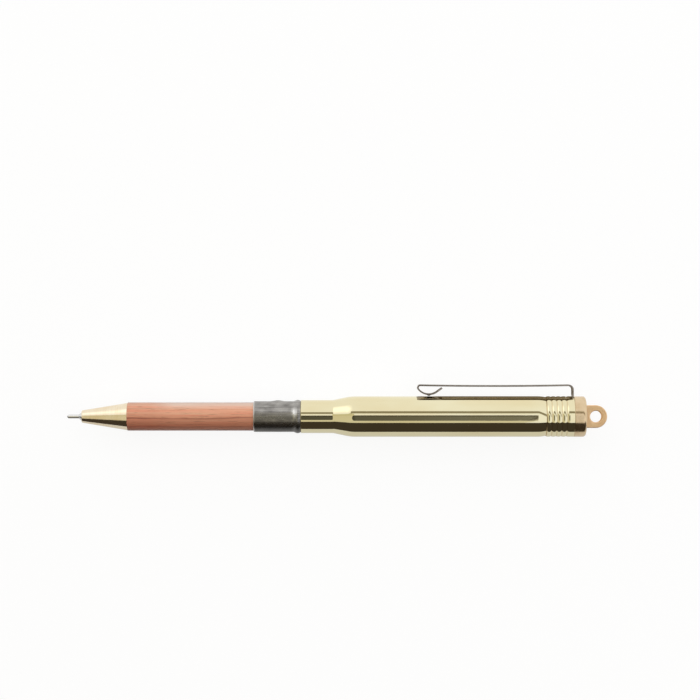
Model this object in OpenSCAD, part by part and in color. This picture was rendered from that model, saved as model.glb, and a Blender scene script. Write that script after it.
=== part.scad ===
// Pocket ballpoint pen built like a bullet pencil, shown ready to write.
// A brass case holds a reversible insert: a grey metal holder with a bullet nose,
// a wooden barrel glued into it, and a brass cone that closes over a standard mini refill.
// Every piece is first drawn about the X axis with the case mouth at x = 0, the writing
// point towards -X and the clip towards +Y. It is then laid on the surface z = 0.

/* [Refill] */
// Length of the refill from the ball to its back end
refill_len = 67; // [60:0.5:75]
// Diameter of the ink tube
refill_d = 2.35; // [2:0.05:2.6]
// Wall of the ink tube
refill_wall = 0.3; // [0.15:0.05:0.5]
// Diameter of the writing ball
ball_d = 0.7; // [0.5:0.1:0.7]
// Share of the ball's diameter that stands out of the point
ball_show = 0.36; // [0.25:0.01:0.4]
// Wall of the lip that holds the ball
lip_wall = 0.05; // [0.03:0.01:0.07]
// Diameter of the slim nozzle behind the ball
nozzle_d = 1; // [0.9:0.05:1.3]
// Length of the slim nozzle
nozzle_len = 2.7; // [1.5:0.1:4]
// Length of the flare behind the nozzle
flare_len = 0.7; // [0.4:0.1:1.5]
// Diameter of the point where it fills the cone's front hole
point_d = 2.15; // [1.9:0.05:2.25]
// Distance from the cone's front face to the ball
point_reach = 3.7; // [2.5:0.1:5]
// Length of the point's stem inside the ink tube
point_stem_len = 3; // [2:0.5:6]
// Diameter of the ink duct
duct_d = 0.4; // [0.3:0.05:0.6]
// Length of the ink column
ink_len = 40; // [10:1:48]

/* [Nose cone] */
// Length of the cone
cone_len = 11.6; // [8:0.1:16]
// Diameter of the cone where it meets the wood
cone_d = 6.95; // [6.2:0.05:7.1]
// Width of the rim around the cone's front hole
cone_rim = 0.42; // [0.2:0.01:0.6]
// Depth of the narrow front hole
cone_stop_depth = 3.8; // [2.5:0.1:5]
// Diameter of the threaded spigot behind the cone
spigot_d = 4.6; // [4:0.1:5]
// Length of the threaded spigot
spigot_len = 6; // [4:0.5:8]
// Free depth of thread behind the spigot
spigot_room = 0.5; // [0.2:0.1:1]
// Wall of the threaded insert glued into the wood
insert_wall = 0.45; // [0.3:0.05:0.6]

/* [Wooden barrel] */
// Diameter of the wooden barrel
wood_d = 7.1; // [6.9:0.05:8]
// Thickness of wood left behind the refill
wood_floor = 4; // [2:0.5:8]

/* [Bullet holder] */
// Wall of the holder tube
holder_wall = 0.3; // [0.2:0.05:0.5]
// Length of the ferrule from the bead to its open end
ferrule_len = 11.1; // [9:0.1:16]
// Length of the bullet from the bead to its tip
bullet_len = 20; // [17:0.1:26]
// Length of the curved nose
nose_len = 7.05; // [5:0.05:9]
// Length of the nose plug that shows
nose_show = 3.9; // [2.5:0.1:4.5]
// Height of the bead above the holder
bead_rise = 0.335; // [0.3:0.005:0.6]
// Width of the bead at its foot
bead_w = 2.4; // [1.6:0.1:3.2]
// Radius of the punch that raised the grip bumps
bump_r = 2.6; // [2.2:0.1:3]
// Height of the free bump on the ferrule
ferrule_bump = 0.25; // [0.1:0.01:0.35]
// Height of the bullet's bump, pressed in by the case neck
bullet_bump = 0.05; // [0.02:0.01:0.06]
// Distance from the bead to the ferrule's bump
ferrule_bump_at = 4.9; // [3.5:0.1:6]
// Distance from the bead to the bullet's bump
bullet_bump_at = 5.7; // [4:0.1:7]

/* [Case] */
// Diameter of the case body, the tail collar and the end cap
body_d = 10.2; // [9.6:0.1:12]
// Wall of the case tube
case_wall = 0.23; // [0.15:0.01:0.3]
// Length of the straight neck
neck_len = 8.1; // [7:0.1:12]
// Length of the shoulder between neck and body
shoulder_len = 5.6; // [4:0.1:9]
// Radius that rounds the shoulder into the body
shoulder_round = 6; // [2:0.5:10]
// Free length behind the writing point when the insert is stowed
stow_room = 4.35; // [4:0.05:9]
// Length over which the tube's tail end turns in
turn_len = 1.2; // [1:0.1:3]
// Depth by which the tube's tail end turns in
turn_in = 0.22; // [0.1:0.01:0.3]

/* [Tail] */
// Number of grooves, counting the one at the seam
groove_count = 5; // [3:1:7]
// Distance from groove to groove
groove_pitch = 1.27; // [1:0.01:1.6]
// Depth of the grooves
groove_depth = 0.13; // [0.08:0.01:0.25]
// Length of the plain rim behind the grooves
rim_len = 1.285; // [1:0.005:3]
// Length of the collar's plug inside the case tube
plug_len = 6; // [4:0.5:9]
// Wall of the collar's plug
plug_wall = 0.8; // [0.5:0.1:1.2]
// Length of the end cap's flange
cap_len = 3; // [2:0.1:4]
// Radius of the end cap's rounded edge
cap_round = 0.75; // [0.3:0.05:1.2]
// Diameter of the end cap's threaded stud
stud_d = 5.9; // [5:0.1:6.5]
// Length of the end cap's threaded stud
stud_len = 4.5; // [3:0.1:5]
// Diameter of the lanyard hole
eye_hole_d = 2.9; // [2:0.1:3.6]
// Width of metal around the lanyard hole
eye_rim = 1.4; // [1:0.05:2]
// Thickness of the lanyard eye
eye_t = 1.8; // [1.2:0.1:2.6]
// Distance from the end cap to the centre of the lanyard hole
eye_reach = 2.55; // [2:0.05:4]

/* [Clip] */
// Width of the clip strip
clip_w = 3.2; // [2.5:0.1:5]
// Thickness of the clip strip
clip_t = 0.4; // [0.3:0.02:0.5]
// Height of the clip's outer face above the case
clip_rise = 2.97; // [2.6:0.01:4]
// Length of the clip arm between its two bends
clip_arm_len = 37.2; // [25:0.1:45]
// Radius of the bend at the clip's root, at mid-thickness
clip_root_r = 1.1; // [0.7:0.05:1.5]
// Radius of the tight bend at the clip's free end, at mid-thickness
clip_end_r = 0.6; // [0.35:0.05:0.7]
// Radius of the curl that presses on the case, at mid-thickness
clip_curl_r = 3.4; // [3:0.1:4.2]
// Angle that the curl runs on past its lowest point
clip_curl_angle = 36; // [20:1:50]
// Radius of the round pip under the curl
clip_pip_r = 0.6; // [0.4:0.05:1]
// Sag of the clip arm at its middle
clip_sag = 0.18; // [0.05:0.01:0.4]
// Width of the clip's washer under the end cap
washer_w = 1; // [0.7:0.05:1.2]

/* [Clearances] */
// Gap of a glued joint, on each side
glue_gap = 0.025; // [0.01:0.005:0.04]
// Gap between the holder and the case neck, on each side
slide_gap = 0.075; // [0.07:0.005:0.12]
// Gap of a screw thread, on each side
thread_gap = 0.05; // [0.02:0.01:0.08]
// Gap around the refill, on each side
refill_gap = 0.125; // [0.08:0.005:0.2]
// Gap between the writing ball and its socket
ball_gap = 0.02; // [0.01:0.005:0.03]
// Gap around the clip's root, on each side
clip_play = 0.05; // [0.04:0.005:0.08]
// Gap between the clip's curl and the case
clip_gap = 0.32; // [0.05:0.01:0.6]
// Gap between the curl's pip and the case
clip_pip_gap = 0.1; // [0.04:0.01:0.2]
// Gap between the tip of the clip's tail and the clip arm
clip_tail_gap = 0.12; // [0.05:0.01:0.4]

/* [Hidden] */
$fn = 96;
arc_steps = 12;

// Holder, from the wood outwards
holder_bore_r = wood_d / 2 + glue_gap;
holder_r = holder_bore_r + holder_wall;
neck_bore_r = holder_r + slide_gap;
body_r = body_d / 2;
body_bore_r = body_r - case_wall;

// The bead stands where its flank meets the mouth of the case
bead_at = -bead_w / 2 * acos(2 * slide_gap / bead_rise - 1) / 180 - glue_gap;
ferrule_at = bead_at - ferrule_len;
nose_tip_at = bead_at + bullet_len;
nose_at = nose_tip_at - nose_len;
nose_seam_at = nose_tip_at - nose_show;

// The refill ends inside the wood, so its length sets where the pen begins
refill_end_at = nose_at - wood_floor;
ball_front_at = refill_end_at - refill_len;
ball_at = ball_front_at + ball_d / 2;
lip_at = ball_front_at + ball_show * ball_d;
cone_at = ball_front_at + point_reach;
wood_at = cone_at + cone_len;
nozzle_end_at = lip_at + nozzle_len;
flare_end_at = nozzle_end_at + flare_len;
cone_stop_at = cone_at + cone_stop_depth;
tube_at = cone_stop_at + thread_gap;
ink_r = refill_d / 2 - refill_wall - glue_gap;

// Bores of the cone, the threaded insert and the wood
point_hole_r = point_d / 2 + thread_gap;
refill_bore_r = refill_d / 2 + refill_gap;
insert_bore_r = spigot_d / 2 + thread_gap;
insert_r = insert_bore_r + insert_wall;
insert_end_at = wood_at + spigot_len + spigot_room;

// The case is as long as the insert that it stows, which turns round about its bead
stow_depth = 2 * bead_at - ball_front_at;
case_len = stow_depth + stow_room;
neck_r = neck_bore_r + case_wall;
body_at = neck_len + shoulder_len;

// The shoulder is a cone from the neck, tangent to the round that leads into the body
shoulder_centre = [body_at, body_r - shoulder_round];
shoulder_line = shoulder_centre - [neck_len, neck_r];
shoulder_angle = asin(shoulder_round / norm(shoulder_line)) + atan2(shoulder_line[1], shoulder_line[0]);

// The collar is plugged into the turned-in end of the tube, and the cap is screwed into the collar
plug_r = body_bore_r - turn_in - glue_gap;
ridge_count = groove_count - 0.5;
grooves_end_at = case_len + ridge_count * groove_pitch;
collar_end_at = grooves_end_at + rim_len;
cap_end_at = collar_end_at + cap_len;
eye_at = cap_end_at + eye_reach;
eye_r = eye_hole_d / 2 + eye_rim;
eye_end_at = eye_at + eye_r;
stud_bore_r = stud_d / 2 + thread_gap;

// The clip's washer and root share a recess in the collar's end
recess_depth = clip_t + 2 * clip_play;
washer_at = collar_end_at - recess_depth + clip_play;
washer_bore_r = stud_bore_r + clip_play;
washer_r = washer_bore_r + washer_w;
recess_r = washer_r + clip_play;
clip_root = [washer_at + clip_t / 2, recess_r + clip_play + clip_t / 2];

// The clip's line: root bend, bowed arm, tight end bend, curl and tail, all tangent to each other
clip_top = body_r + clip_rise;
root_bend = [clip_root[0] - clip_root_r, clip_top - clip_t / 2 - clip_root_r];
bow_r = (pow(clip_arm_len / 2, 2) + pow(clip_sag, 2)) / (2 * clip_sag);
bow_angle = asin(clip_arm_len / 2 / bow_r);
bow = root_bend + (clip_root_r + bow_r) * [cos(90 + bow_angle), sin(90 + bow_angle)];
end_bend = bow - (bow_r + clip_end_r) * [cos(90 - bow_angle), sin(90 - bow_angle)];
curl_y = body_r + clip_gap + clip_t / 2 + clip_curl_r;
curl = [end_bend[0] + sqrt(pow(clip_curl_r - clip_end_r, 2) - pow(curl_y - end_bend[1], 2)), curl_y];
curl_start = 180 + atan2(curl[1] - end_bend[1], curl[0] - end_bend[0]);
curl_end = [sin(clip_curl_angle), -cos(clip_curl_angle)];

// The straight tail rises from the curl and stops just under the arm
tail_way = [cos(clip_curl_angle), sin(clip_curl_angle)];
arm_low = clip_top - clip_t - clip_sag;
tail_top = arm_low - clip_tail_gap - clip_t / 2 * tail_way[0];
tail_start = curl + clip_curl_r * curl_end;
tail_tip = tail_start + (tail_top - tail_start[1]) / tail_way[1] * tail_way;

// Middle of the whole pen, which is laid over the origin
middle_x = (ball_front_at + eye_end_at) / 2;
middle_y = (clip_top - body_r) / 2;

// Points on an arc
function arc(centre, r, from, to, steps = arc_steps) =
    [for (i = [0 : steps]) let (a = from + (to - from) * i / steps) centre + r * [cos(a), sin(a)]];

// Radius of the bead at x: one raised cosine wave on the holder
function bead_radius(x) = holder_r + bead_rise * (1 + cos(360 * (x - bead_at) / bead_w)) / 2;

// Radius of the bullet's elliptical nose at x
function nose_radius(x) = holder_r * sqrt(max(0, 1 - pow((x - nose_at) / nose_len, 2)));

// Radius of the tube's tail end at x: a parabola that turns in towards the seam, set in by inset
function tail_radius(x, inset) = body_r - inset - turn_in * pow((x - case_len + turn_len) / turn_len, 2);

// Radius of the grooved collar at x: round ridges with sharp grooves between them, the first at the seam
function groove_radius(x) =
    let (u = (x - case_len) / groove_pitch) body_r - groove_depth * pow(2 * (u - floor(u)) - 1, 2);

// Even steps from one place to another
function steps(from, to, count = arc_steps) = [for (i = [0 : count]) from + (to - from) * i / count];

// A turned solid about the X axis. Its outline is a list of [x, radius]
module turned(outline) {
    rotate([0, 90, 0])
        rotate_extrude()
            polygon([for (p = outline) [p[1], p[0]]]);
}

// A plain rod about the X axis
module rod(from, to, r) {
    translate([from, 0, 0])
        rotate([0, 90, 0])
            cylinder(h = to - from, r = r);
}

// Lays the pen on its side over the origin, with the clip level
module lying() {
    translate([-middle_x, -middle_y, body_r])
        children();
}

// One skin of the case tube, set in from the outside. It runs past the ends by extra
function case_skin(inset, extra) = concat(
    [[-extra, 0], [-extra, neck_r - inset], [neck_len, neck_r - inset]],
    [for (p = arc(shoulder_centre, shoulder_round, 90 + shoulder_angle, 90)) p - [0, inset]],
    [for (x = steps(case_len - turn_len, case_len)) [x, tail_radius(x, inset)]],
    [[case_len + extra, tail_radius(case_len, inset)], [case_len + extra, 0]]);

module case_tube() {
    color("#e3d49a")
        difference() {
            turned(case_skin(0, 0));
            turned(case_skin(case_wall, 1));
        }
}

module tail_collar() {
    stud_bore_at = collar_end_at - recess_depth - stud_len;
    color("#e3d49a")
        difference() {
            turned(concat(
                [[case_len - plug_len, 0], [case_len - plug_len, plug_r], [case_len, plug_r]],
                [for (x = steps(case_len, grooves_end_at, arc_steps * ridge_count)) [x, groove_radius(x)]],
                [[collar_end_at, body_r], [collar_end_at, 0]]));
            rod(case_len - plug_len - 1, stud_bore_at, plug_r - plug_wall);
            rod(stud_bore_at - 1, collar_end_at, stud_bore_r);
            rod(collar_end_at - recess_depth, collar_end_at + 1, recess_r);
            translate([collar_end_at - recess_depth, 0, -clip_w / 2 - clip_play])
                cube([recess_depth + 1, body_r + 1, clip_w + 2 * clip_play]);
        }
}

module end_cap() {
    color("#c9a574")
        difference() {
            union() {
                turned(concat(
                    [[collar_end_at, 0], [collar_end_at, body_r]],
                    arc([cap_end_at - cap_round, body_r - cap_round], cap_round, 90, 0),
                    [[cap_end_at, 0]]));
                rod(collar_end_at - recess_depth - stud_len + clip_play, collar_end_at + 1, stud_d / 2);
                translate([cap_end_at - 1, -eye_r, -eye_t / 2])
                    cube([eye_reach + 1, 2 * eye_r, eye_t]);
                translate([eye_at, 0, -eye_t / 2])
                    cylinder(h = eye_t, r = eye_r);
            }
            translate([eye_at, 0, -eye_t])
                cylinder(h = 2 * eye_t, r = eye_hole_d / 2);
        }
}

module clip_washer() {
    color("#a7a39d")
        difference() {
            rod(washer_at, washer_at + clip_t, washer_r);
            rod(washer_at - 1, washer_at + clip_t + 1, washer_bore_r);
        }
}

// One edge of the clip strip, to the outside (side = 1) or the inside (side = -1) of its bends
function clip_edge(side) = let (out = side * clip_t / 2) concat(
    [clip_root + [out, 0]],
    arc(root_bend, clip_root_r + out, 0, 90 + bow_angle),
    arc(bow, bow_r - out, 270 + bow_angle, 270 - bow_angle),
    arc(end_bend, clip_end_r + out, 90 - bow_angle, curl_start),
    arc(curl, clip_curl_r + out, curl_start, 270 + clip_curl_angle, 2 * arc_steps),
    [tail_tip + out * curl_end]);

// Points of the outer edge, then of the inner edge backwards
function there_and_back(out, back) = concat(out, [for (i = [len(back) - 1 : -1 : 0]) back[i]]);

// The pip pressed out of the curl's lowest point towards the case, cut off at the strip's middle
module clip_pip() {
    difference() {
        translate([curl[0], body_r + clip_pip_gap + clip_pip_r, 0])
            sphere(r = clip_pip_r);
        translate([curl[0] - clip_pip_r, curl_y - clip_curl_r, -clip_pip_r])
            cube(2 * clip_pip_r);
    }
}

module clip_arm() {
    color("#a7a39d") {
        translate([0, 0, -clip_w / 2])
            linear_extrude(height = clip_w)
                polygon(there_and_back(clip_edge(1), clip_edge(-1)));
        translate([clip_root[0], clip_root[1], -clip_w / 2])
            cylinder(h = clip_w, r = clip_t / 2);
        clip_pip();
    }
}

// A round bump on the holder's +Y side that stands out by rise
module grip_bump(at, rise) {
    translate([at, holder_r + rise - bump_r, 0])
        sphere(r = bump_r);
}

module holder_sleeve() {
    edge = holder_wall / 3;
    bead_from = bead_at - bead_w / 2;
    bead_to = bead_at + bead_w / 2;
    color("#6f6d6b")
        difference() {
            union() {
                turned(concat(
                    [[ferrule_at, 0], [ferrule_at, holder_r - edge], [ferrule_at + edge, holder_r]],
                    [for (x = steps(bead_from, bead_to, 2 * arc_steps)) [x, bead_radius(x)]],
                    [for (x = steps(nose_at, nose_seam_at)) [x, nose_radius(x)]],
                    [[nose_seam_at, 0]]));
                grip_bump(bead_at - ferrule_bump_at, ferrule_bump);
                grip_bump(bead_at + bullet_bump_at, bullet_bump);
            }
            turned(concat(
                [[ferrule_at - 1, 0], [ferrule_at - 1, holder_bore_r]],
                [for (x = steps(nose_at, nose_seam_at)) [x, nose_radius(x) - holder_wall]],
                [[nose_seam_at + 1, nose_radius(nose_seam_at) - holder_wall], [nose_seam_at + 1, 0]]));
        }
}

module nose_plug() {
    color("#b9b8b3")
        turned(concat(
            [[nose_at + glue_gap, 0]],
            [for (x = steps(nose_at + glue_gap, nose_seam_at)) [x, nose_radius(x) - holder_wall - glue_gap]],
            [[nose_seam_at + glue_gap, nose_radius(nose_seam_at) - holder_wall - glue_gap]],
            [for (a = steps(asin((nose_len - nose_show + glue_gap) / nose_len), 90))
                [nose_at + nose_len * sin(a), holder_r * cos(a)]]));
}

module wooden_barrel() {
    edge = 0.12;
    color("#c9835f")
        difference() {
            turned([[wood_at, 0], [wood_at, wood_d / 2 - edge], [wood_at + edge, wood_d / 2],
                    [nose_at, wood_d / 2], [nose_at, 0]]);
            rod(wood_at - 1, insert_end_at + glue_gap, insert_r + glue_gap);
            rod(wood_at, refill_end_at, refill_bore_r);
        }
}

module threaded_insert() {
    color("#c9a85c")
        difference() {
            rod(wood_at, insert_end_at, insert_r);
            rod(wood_at - 1, insert_end_at + 1, insert_bore_r);
        }
}

module nose_cone() {
    color("#d9b976")
        difference() {
            union() {
                turned([[cone_at, 0], [cone_at, point_hole_r + cone_rim],
                        [wood_at, cone_d / 2], [wood_at, 0]]);
                rod(wood_at - 1, wood_at + spigot_len, spigot_d / 2);
            }
            rod(cone_at - 1, wood_at, point_hole_r);
            rod(cone_stop_at, wood_at + spigot_len + 1, refill_bore_r);
        }
}

module ink_tube() {
    color("#b9a06a")
        difference() {
            rod(tube_at, refill_end_at, refill_d / 2);
            rod(tube_at - 1, refill_end_at + 1, refill_d / 2 - refill_wall);
        }
}

module writing_point() {
    socket_r = ball_d / 2 + ball_gap;
    lip_r = socket_r + lip_wall;
    lip_taper = nozzle_d - 2 * lip_r;
    stem_end_at = tube_at + point_stem_len;
    duct_angle = asin(duct_d / 2 / socket_r);
    lip_angle = acos((lip_at - ball_at) / socket_r);
    color("#c4c2bc")
        turned(concat(
            arc([ball_at, 0], socket_r, duct_angle, lip_angle),
            [[lip_at, lip_r], [lip_at + lip_taper, nozzle_d / 2], [nozzle_end_at, nozzle_d / 2]],
            [[flare_end_at, point_d / 2], [tube_at, point_d / 2], [tube_at, ink_r]],
            [[stem_end_at, ink_r], [stem_end_at, duct_d / 2]]));
}

module ink_column() {
    start = tube_at + point_stem_len;
    color("#22252e")
        rod(start, start + ink_len, ink_r);
}

module writing_ball() {
    color("#d5d5d2")
        translate([ball_at, 0, 0])
            sphere(r = ball_d / 2);
}

lying() case_tube();
lying() tail_collar();
lying() end_cap();
lying() clip_washer();
lying() clip_arm();
lying() holder_sleeve();
lying() nose_plug();
lying() wooden_barrel();
lying() threaded_insert();
lying() nose_cone();
lying() ink_tube();
lying() writing_point();
lying() ink_column();
lying() writing_ball();
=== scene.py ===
# %% [markdown]
# # A pocket ballpoint pen in brass and cedar
# The pen is built like a bullet pencil. A brass case holds a reversible insert: a grey metal holder with
# a bullet nose, a cedar barrel glued into it, and a turned brass cone that closes over a short refill.
# The CAD frame gives every piece its place. This lesson gives each piece its finished surface: eased
# edges, smooth curves, threads and crimps, and a finish with its own grain and wear.

import bmesh
import bpy
import numpy as np
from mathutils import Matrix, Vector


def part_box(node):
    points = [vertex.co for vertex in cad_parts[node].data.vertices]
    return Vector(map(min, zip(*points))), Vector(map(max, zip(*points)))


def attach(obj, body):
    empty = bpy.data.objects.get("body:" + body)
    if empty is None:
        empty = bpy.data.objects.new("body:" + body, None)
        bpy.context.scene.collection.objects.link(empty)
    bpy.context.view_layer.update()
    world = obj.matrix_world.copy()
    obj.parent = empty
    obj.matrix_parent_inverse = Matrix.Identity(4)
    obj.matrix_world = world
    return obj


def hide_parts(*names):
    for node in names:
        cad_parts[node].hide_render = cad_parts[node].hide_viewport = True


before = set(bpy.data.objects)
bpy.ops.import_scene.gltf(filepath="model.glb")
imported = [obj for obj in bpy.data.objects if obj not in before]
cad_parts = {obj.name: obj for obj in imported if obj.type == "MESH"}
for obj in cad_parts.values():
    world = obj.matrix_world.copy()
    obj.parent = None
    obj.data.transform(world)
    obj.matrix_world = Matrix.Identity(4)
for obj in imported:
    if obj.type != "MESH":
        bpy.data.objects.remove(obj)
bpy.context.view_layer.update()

# %% [markdown]
# ## Places in millimetres
# A pen is measured in millimetres, so the shapes are worked out in them and scaled when a mesh is written.
# The boxes of the CAD nodes say where each piece begins and ends. Nearly all pieces are turned about
# one axis, which runs through the middle of the case along X.

# %% The axis of the pen
MM = 0.001


def box_mm(node):
    """Lowest and highest corner of a CAD node, in millimetres."""
    low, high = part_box(node)
    return np.array(low) / MM, np.array(high) / MM


case_low, case_high = box_mm("case_tube")
axis_y, axis_z = (case_low[1:] + case_high[1:]) / 2
body_r = np.round((case_high[2] - case_low[2]) / 2, 2)
mouth_x, seam_x = case_low[0], case_high[0]
print("axis at y", round(axis_y, 3), "z", round(axis_z, 3), "body radius", body_r, "case", mouth_x, seam_x)

# %% [markdown]
# ## Turning on a lathe
# Most of this pen comes off a lathe, so one surface makes most of it: an outline of (x, radius) points is
# carried round the axis. Blender's Spin tool or a Screw modifier could do the same, but a grid of numpy
# arrays keeps each size in sight and lets a formula change the radius, for a bump or a thread.
# No real edge is sharp, so each corner of an outline has a third number, which says how far it is eased.

# %% Outlines with eased corners
MERGE = 1e-7


def curve(x, radius):
    """Outline rows of a smooth stretch: x, radius and no easing."""
    x, radius = np.broadcast_arrays(np.asarray(x, float), radius)
    return np.column_stack([x, radius, np.zeros(x.size)])


def eased(corners, steps=6):
    """Rounds each corner with a parabola that leaves both sides at the easing's distance from it."""
    point, ease = corners[:, None, :2], corners[:, None, 2:]
    back = np.roll(point, 1, axis=0) - point
    onward = np.roll(point, -1, axis=0) - point
    start = point + ease * back / np.linalg.norm(back, axis=2, keepdims=True)
    end = point + ease * onward / np.linalg.norm(onward, axis=2, keepdims=True)
    t = np.linspace(0, 1, steps + 1)[None, :, None]
    rows = ((1 - t) ** 2 * start + 2 * t * (1 - t) * point + t ** 2 * end).reshape(-1, 2)
    apart = np.linalg.norm(rows - np.roll(rows, 1, axis=0), axis=1) > MERGE / MM
    return rows[apart]


def braced(outline, brace=0.04):
    """Adds a point near both ends of each long straight, so that smooth shading doesn't bend along it."""
    step = np.roll(outline, -1, axis=0) - outline
    length = np.linalg.norm(step, axis=1, keepdims=True)
    near = step * brace / length
    rows = np.stack([outline, outline + near, outline + step - near], axis=1)
    straight = length > 4 * brace
    keep = np.hstack([np.full_like(straight, True), straight, straight])
    return rows[keep]


print("easing and bracing are ready")

# %% Surfaces over a grid
def circle(count):
    """So many equal steps round a circle, as angles from 0."""
    return np.linspace(0, 2 * np.pi, count, endpoint=False)


def surface(name, grid, looped):
    """A smooth closed mesh over a grid of points in millimetres.

    The last column joins the first, and if the outline is looped the last row joins the first.
    Points in the same place are merged, which closes the poles, and faces are turned outwards.
    """
    rows, columns = grid.shape[:2]
    index = np.arange(rows * columns).reshape(rows, columns)
    index = np.hstack([index, index[:, :1]])
    if looped:
        index = np.vstack([index, index[:1]])
    quads = np.stack([index[:-1, :-1], index[1:, :-1], index[1:, 1:], index[:-1, 1:]], axis=-1)
    mesh = bpy.data.meshes.new(name)
    mesh.from_pydata((grid.reshape(-1, 3) * MM).tolist(), [], quads.reshape(-1, 4).tolist())
    shell = bmesh.new()
    shell.from_mesh(mesh)
    bmesh.ops.remove_doubles(shell, verts=shell.verts, dist=MERGE)
    bmesh.ops.dissolve_degenerate(shell, edges=shell.edges, dist=MERGE)
    bmesh.ops.recalc_face_normals(shell, faces=shell.faces)
    shell.to_mesh(mesh)
    shell.free()
    mesh.shade_smooth()
    piece = bpy.data.objects.new(name, mesh)
    bpy.context.scene.collection.objects.link(piece)
    print(name, "has", len(mesh.polygons), "faces")
    return piece


def turned(name, corners, hollow=False, shape=None, turns=160):
    """Carries an outline round the axis: y = axis + r cos(turn) and z = axis + r sin(turn).

    A hollow outline is a closed loop, and any other runs from the axis back to the axis.
    shape(x, r, turn), where there is one, gives the changed x and r of the whole grid.
    turns is the number of columns round the axis, or the angles of these columns.
    """
    outline = braced(eased(corners))
    angle = circle(turns) if np.isscalar(turns) else turns
    x, r, turn = np.broadcast_arrays(outline[:, :1], outline[:, 1:], angle[None, :])
    if shape:
        x, r = shape(x, r, turn)
    grid = np.stack([x, axis_y + r * np.cos(turn), axis_z + r * np.sin(turn)], axis=-1)
    return surface(name, grid, hollow)


print("the lathe is ready")

# %% [markdown]
# ## How a finish is put together
# A finish is a Principled shader and a few noise patterns on the object's own coordinates, so no picture
# files and no unwrapping are needed, and the pattern stays with the piece when it moves. Noise that is
# stretched along X reads as drawn or brushed metal, and noise that is squeezed along X as a lathe's rings.
# Values that are the same all over are set on the shader itself. A socket's id_data is its node tree, so a
# helper that is given a pattern adds its own node there.

# %% Helpers for finishes
METAL = {"Metallic": 1.0}


def paint(red, green, blue):
    """A colour as a screen shows it, from 0 to 255, as the light values that a shader takes.

    That is the screen's own curve: a short straight start, and a power of 2.4 above it.
    """
    share = np.array([red, green, blue]) / 255
    light = np.where(share <= 0.04045, share / 12.92, ((share + 0.055) / 1.055) ** 2.4)
    return (*light.tolist(), 1.0)


def add(tree, kind, inputs=None, **settings):
    """Adds a node, sets its settings, and links or sets its inputs."""
    made = tree.nodes.new(kind)
    for key, value in settings.items():
        setattr(made, key, value)
    for key, value in (inputs or {}).items():
        if isinstance(value, bpy.types.NodeSocket):
            tree.links.new(value, made.inputs[key])
        else:
            made.inputs[key].default_value = value
    return made


def finish(name, constants):
    """A new material, its node tree and its shader, with the values that are the same all over."""
    material = bpy.data.materials.new(name)
    material.use_nodes = True
    shader = material.node_tree.nodes["Principled BSDF"]
    for socket, value in constants.items():
        shader.inputs[socket].default_value = value
    return material, material.node_tree, shader


def grain(tree, per_mm, detail=4, lean=(0, 0, 0)):
    """Noise on the object's coordinates, with so many waves to the millimetre along X, Y and Z."""
    place = add(tree, "ShaderNodeTexCoord").outputs["Object"]
    scale = tuple(waves / MM for waves in per_mm)
    turned_place = add(tree, "ShaderNodeMapping", {"Vector": place, "Rotation": lean, "Scale": scale})
    noise = {"Vector": turned_place.outputs[0], "Scale": 1, "Detail": detail}
    return add(tree, "ShaderNodeTexNoise", noise).outputs["Fac"]


def spread(value, low, high, start=0.35, end=0.65):
    """Maps the stretch of a pattern between start and end onto the values from low to high."""
    levels = {"Value": value, "From Min": start, "From Max": end, "To Min": low, "To Max": high}
    return add(value.id_data, "ShaderNodeMapRange", levels).outputs[0]


def over_mm(place, low, high, start_mm, end_mm):
    """Goes from low to high over a stretch of the object, whose two ends are in millimetres."""
    return spread(place, low, high, start_mm * MM, end_mm * MM)


def mixed(amount, first, second):
    """Goes from the first colour to the second as amount goes from 0 to 1."""
    colours = {0: amount, 6: first, 7: second}
    return add(amount.id_data, "ShaderNodeMix", colours, data_type="RGBA").outputs[2]


def maths(operation, first, second=0.0):
    """One step of arithmetic on a pattern and a value or another pattern."""
    return add(first.id_data, "ShaderNodeMath", {0: first, 1: second}, operation=operation).outputs[0]


def where(tree):
    """The object's own coordinates as three separate values, X, Y and Z."""
    place = add(tree, "ShaderNodeTexCoord").outputs["Object"]
    return add(tree, "ShaderNodeSeparateXYZ", {0: place}).outputs


def stored(tree, what):
    """A number stored on the piece's points under the name what."""
    return add(tree, "ShaderNodeAttribute", attribute_name=what).outputs["Fac"]


def coated(shader, colour, roughness, height=None, depth_mm=0.0):
    """Gives the shader patterns for its colour and roughness, and one that stands out by its depth."""
    links = shader.id_data.links
    links.new(colour, shader.inputs["Base Color"])
    links.new(roughness, shader.inputs["Roughness"])
    if height is not None:
        bump = {"Height": height, "Strength": 1, "Distance": depth_mm * MM}
        links.new(add(shader.id_data, "ShaderNodeBump", bump).outputs[0], shader.inputs["Normal"])


def dress(piece, material, slot, body, *nodes):
    """Gives a piece its finish, hides the CAD nodes that it replaces, and hangs it on the body it rides
    on.
    """
    piece.data.materials.append(material)
    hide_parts(*nodes)
    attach(piece, body)


def refinish(node, material):
    """Gives a finish to a CAD node that keeps its own shape."""
    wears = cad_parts[node].data.materials
    wears.clear()
    wears.append(material)
    print(node, "wears", material.name)


print("the finishing helpers are ready")

# %% [markdown]
# ## Polished brass
# The case is drawn brass tube, polished until it mirrors the room, so its look comes mostly from what
# surrounds it. A plain low roughness would look like plastic film. Real polish has hairlines along the
# tube, a few stray scratches across them, and faint smudges. In its recesses the colour is painted
# darker and more orange, as painted shade and the painted warm light of brass on brass there. A number
# stored on the mesh, called recess, says where that is.

# %% Finish of the case
BRASS = paint(236, 228, 192)
WARM_BRASS = paint(228, 213, 168)
RECESS_SHADE = paint(196, 160, 104)


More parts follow.
